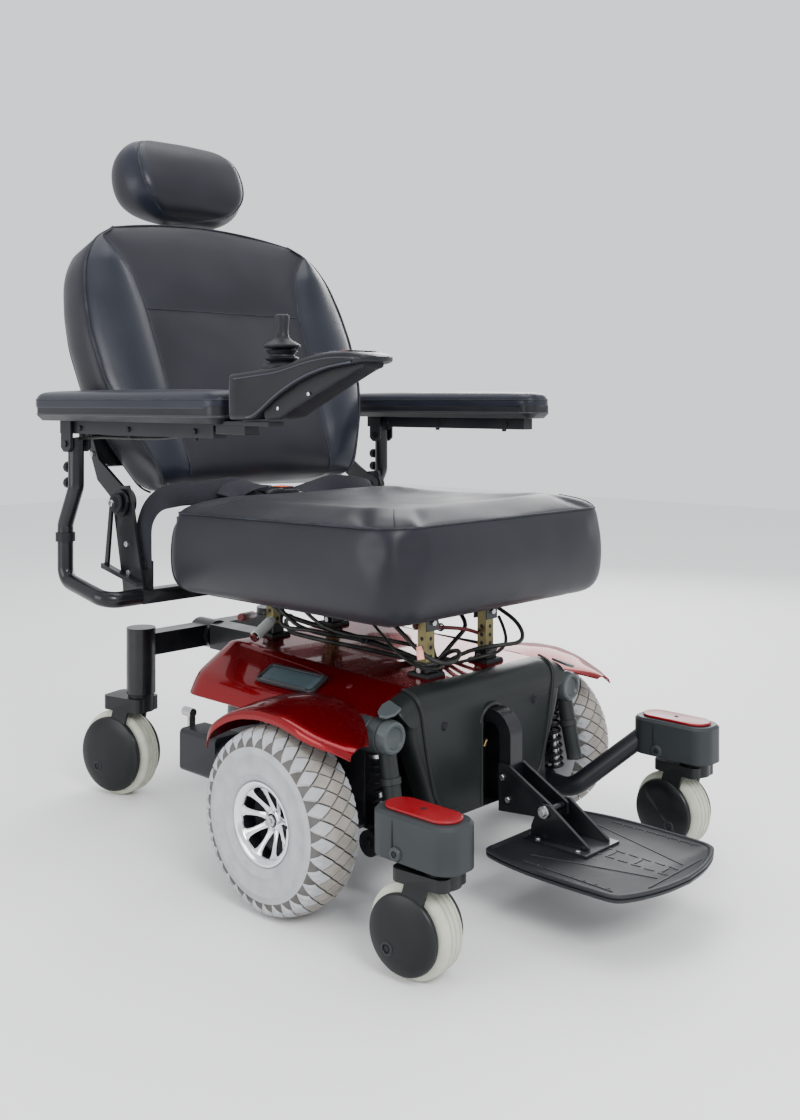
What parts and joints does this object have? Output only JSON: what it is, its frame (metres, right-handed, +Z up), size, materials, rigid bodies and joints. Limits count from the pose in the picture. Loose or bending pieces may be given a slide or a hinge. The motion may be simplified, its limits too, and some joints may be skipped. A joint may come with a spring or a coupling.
{
  "type": "power wheelchair",
  "caption": "Mid-wheel power wheelchair with padded captain seat, headrest, flip-up armrests, joystick, suspension, casters and folding footplate.",
  "frame": {"origin": "on the floor, under the middle of the chair's box", "axes": "+Z up, the chair faces -Y, the user's left is +X"},
  "size_m": [0.77, 1.1556, 1.1894],
  "materials": {
    "frame_black": "satin black powder coat",
    "battery_case": "moulded case",
    "module_case": "finned cast case",
    "red_shroud": "metallic candy red",
    "cover_plastic": "moulded charcoal, fine texture",
    "grey_plastic": "moulded grey",
    "zinc_steel": "yellow zinc plate",
    "screws": "plain",
    "rim_silver": "bright silver with black windows",
    "tyre_grey": "non-marking light grey, block tread",
    "caster_rubber": "pale non-marking rubber",
    "spring_steel": "black coil",
    "upholstery": "charcoal vinyl with fine grain",
    "trim_plastic": "moulded black",
    "gaiter_rubber": "soft bellows",
    "webbing": "woven polyester webbing",
    "button_orange": "orange red",
    "cable_jacket": "black jacket"
  },
  "bodies": {
    "root": {"base_frame": "frame_black", "batteries": "battery_case", "electronics_module": "module_case", "gearboxes": "frame_black", "drive_motors": "frame_black", "shroud": "red_shroud", "fenders": "red_shroud", "front_cover": "cover_plastic", "cover_screws": "screws", "deck_panels": "grey_plastic", "seat_posts": "zinc_steel", "seat_frame": "frame_black", "seat_cushion": "upholstery", "strut_heads": "grey_plastic", "footrest_tube": "frame_black", "seat_belt": "webbing", "belt_buckle": "trim_plastic", "arm_posts": "frame_black", "wiring": "cable_jacket", "shock_spring_left": "spring_steel", "shock_spring_right": "spring_steel"},
    "drive_wheel_left": {"drive_tyre_left": "tyre_grey", "drive_rim_left": "rim_silver"},
    "freewheel_left": {"freewheel_lever_left": "grey_plastic"},
    "drive_wheel_right": {"drive_tyre_right": "tyre_grey", "drive_rim_right": "rim_silver"},
    "freewheel_right": {"freewheel_lever_right": "grey_plastic"},
    "rear_beam": {"rear_beam": "frame_black"},
    "rear_fork_left": {"rear_fork_left": "cover_plastic"},
    "rear_wheel_left": {"rear_wheel_left": "caster_rubber"},
    "rear_fork_right": {"rear_fork_right": "cover_plastic"},
    "rear_wheel_right": {"rear_wheel_right": "caster_rubber"},
    "front_arm_left": {"front_arm_left": "frame_black", "front_head_left": "cover_plastic", "head_inset_left": "red_shroud"},
    "front_fork_left": {"front_fork_left": "cover_plastic"},
    "front_wheel_left": {"front_wheel_left": "caster_rubber"},
    "front_arm_right": {"front_arm_right": "frame_black", "front_head_right": "cover_plastic", "head_inset_right": "red_shroud"},
    "front_fork_right": {"front_fork_right": "cover_plastic"},
    "front_wheel_right": {"front_wheel_right": "caster_rubber"},
    "backrest": {"back_frame": "frame_black", "back_cushion": "upholstery"},
    "headrest": {"headrest_cushion": "upholstery", "headrest_stem": "frame_black"},
    "recline_lever": {"recline_lever": "frame_black"},
    "armrest_left": {"arm_tray_left": "trim_plastic", "arm_pad_left": "upholstery"},
    "armrest_right": {"arm_tray_right": "trim_plastic", "arm_pad_right": "upholstery", "pod_housing": "trim_plastic", "gaiter": "gaiter_rubber"},
    "gimbal": {"gimbal_yoke": "screws"},
    "stick": {"joystick": "trim_plastic"},
    "power_button": {"power_button": "trim_plastic"},
    "horn_button": {"horn_button": "trim_plastic"},
    "footplate": {"footplate": "trim_plastic", "footplate_hinge": "frame_black"},
    "buckle_button": {"buckle_button": "button_orange"}
  },
  "joints": [
    {"name": "drive_spin_left", "type": "hinge", "parent": "root", "child": "drive_wheel_left", "pos_m": [0.296, -0.122, 0.127], "axis": [1, 0, 0], "continuous": true},
    {"name": "freewheel_left", "type": "hinge", "parent": "root", "child": "freewheel_left", "pos_m": [0.222, 0.17, 0.162], "axis": [0, 1, 0], "range_deg": [0, 60]},
    {"name": "drive_spin_right", "type": "hinge", "parent": "root", "child": "drive_wheel_right", "pos_m": [-0.296, -0.122, 0.127], "axis": [1, 0, 0], "continuous": true},
    {"name": "freewheel_right", "type": "hinge", "parent": "root", "child": "freewheel_right", "pos_m": [-0.222, 0.17, 0.162], "axis": [0, -1, 0], "range_deg": [0, 60]},
    {"name": "rear_beam_tilt", "type": "hinge", "parent": "root", "child": "rear_beam", "pos_m": [0, 0.412, 0.268], "axis": [0, 1, 0], "range_deg": [-8, 8]},
    {"name": "rear_swivel_left", "type": "hinge", "parent": "rear_beam", "child": "rear_fork_left", "pos_m": [0.15, 0.412, 0.183], "axis": [0, 0, 1], "continuous": true},
    {"name": "rear_roll_left", "type": "hinge", "parent": "rear_fork_left", "child": "rear_wheel_left", "pos_m": [0.1572, 0.45743, 0.074], "axis": [0.9877, -0.1564, 0], "continuous": true},
    {"name": "rear_swivel_right", "type": "hinge", "parent": "rear_beam", "child": "rear_fork_right", "pos_m": [-0.15, 0.412, 0.183], "axis": [0, 0, 1], "continuous": true},
    {"name": "rear_roll_right", "type": "hinge", "parent": "rear_fork_right", "child": "rear_wheel_right", "pos_m": [-0.16113, 0.45663, 0.074], "axis": [0.9703, 0.2419, 0], "continuous": true},
    {"name": "front_arm_left", "type": "hinge", "parent": "root", "child": "front_arm_left", "pos_m": [0.192, -0.205, 0.09], "axis": [-1, 0, 0], "range_deg": [0, 8], "stiffness_Nm_per_rad": 260, "springref_deg": -22.92, "deforming": ["shock_spring_left"]},
    {"name": "front_swivel_left", "type": "hinge", "parent": "front_arm_left", "child": "front_fork_left", "pos_m": [0.298, -0.417, 0.143], "axis": [0, 0, 1], "continuous": true},
    {"name": "front_roll_left", "type": "hinge", "parent": "front_fork_left", "child": "front_wheel_left", "pos_m": [0.3014, -0.37815, 0.0584], "axis": [0.9962, -0.0872, 0], "continuous": true},
    {"name": "front_arm_right", "type": "hinge", "parent": "root", "child": "front_arm_right", "pos_m": [-0.192, -0.205, 0.09], "axis": [-1, 0, 0], "range_deg": [0, 8], "stiffness_Nm_per_rad": 260, "springref_deg": -22.92, "deforming": ["shock_spring_right"]},
    {"name": "front_swivel_right", "type": "hinge", "parent": "front_arm_right", "child": "front_fork_right", "pos_m": [-0.298, -0.417, 0.143], "axis": [0, 0, 1], "continuous": true},
    {"name": "front_roll_right", "type": "hinge", "parent": "front_fork_right", "child": "front_wheel_right", "pos_m": [-0.30275, -0.37829, 0.0584], "axis": [0.9925, 0.1219, 0], "continuous": true},
    {"name": "backrest_recline", "type": "hinge", "parent": "root", "child": "backrest", "pos_m": [0, 0.265, 0.535], "axis": [1, 0, 0], "range_deg": [-20, 12]},
    {"name": "headrest_height", "type": "slide", "parent": "backrest", "child": "headrest", "axis": [0, 0.3665, 0.9304], "range_m": [0, 0.06]},
    {"name": "recline_release", "type": "hinge", "parent": "root", "child": "recline_lever", "pos_m": [-0.2935, 0.265, 0.535], "axis": [1, 0, 0], "range_deg": [0, 12], "stiffness_Nm_per_rad": 3},
    {"name": "armrest_flip_left", "type": "hinge", "parent": "root", "child": "armrest_left", "pos_m": [0.35, 0.303, 0.63], "axis": [-1, 0, 0], "range_deg": [0, 90]},
    {"name": "armrest_flip_right", "type": "hinge", "parent": "root", "child": "armrest_right", "pos_m": [-0.35, 0.303, 0.63], "axis": [-1, 0, 0], "range_deg": [0, 90]},
    {"name": "stick_fore_aft", "type": "hinge", "parent": "armrest_right", "child": "gimbal", "pos_m": [-0.35, -0.187, 0.722], "axis": [1, 0, 0], "range_deg": [-15, 15], "stiffness_Nm_per_rad": 0.4, "deforming": ["gaiter"]},
    {"name": "stick_side", "type": "hinge", "parent": "gimbal", "child": "stick", "pos_m": [-0.35, -0.187, 0.722], "axis": [0, 1, 0], "range_deg": [-15, 15], "stiffness_Nm_per_rad": 0.4},
    {"name": "power_button", "type": "slide", "parent": "armrest_right", "child": "power_button", "axis": [0, 0, -1], "range_m": [0, 0.0015], "stiffness_N_per_m": 400},
    {"name": "horn_button", "type": "slide", "parent": "armrest_right", "child": "horn_button", "axis": [0, 0, -1], "range_m": [0, 0.0015], "stiffness_N_per_m": 400},
    {"name": "footplate_fold", "type": "hinge", "parent": "root", "child": "footplate", "pos_m": [0, -0.368, 0.128], "axis": [-1, 0, 0], "range_deg": [0, 88]},
    {"name": "buckle_release", "type": "slide", "parent": "root", "child": "buckle_button", "axis": [0, 0, -1], "range_m": [0, 0.003], "stiffness_N_per_m": 500}
  ]
}
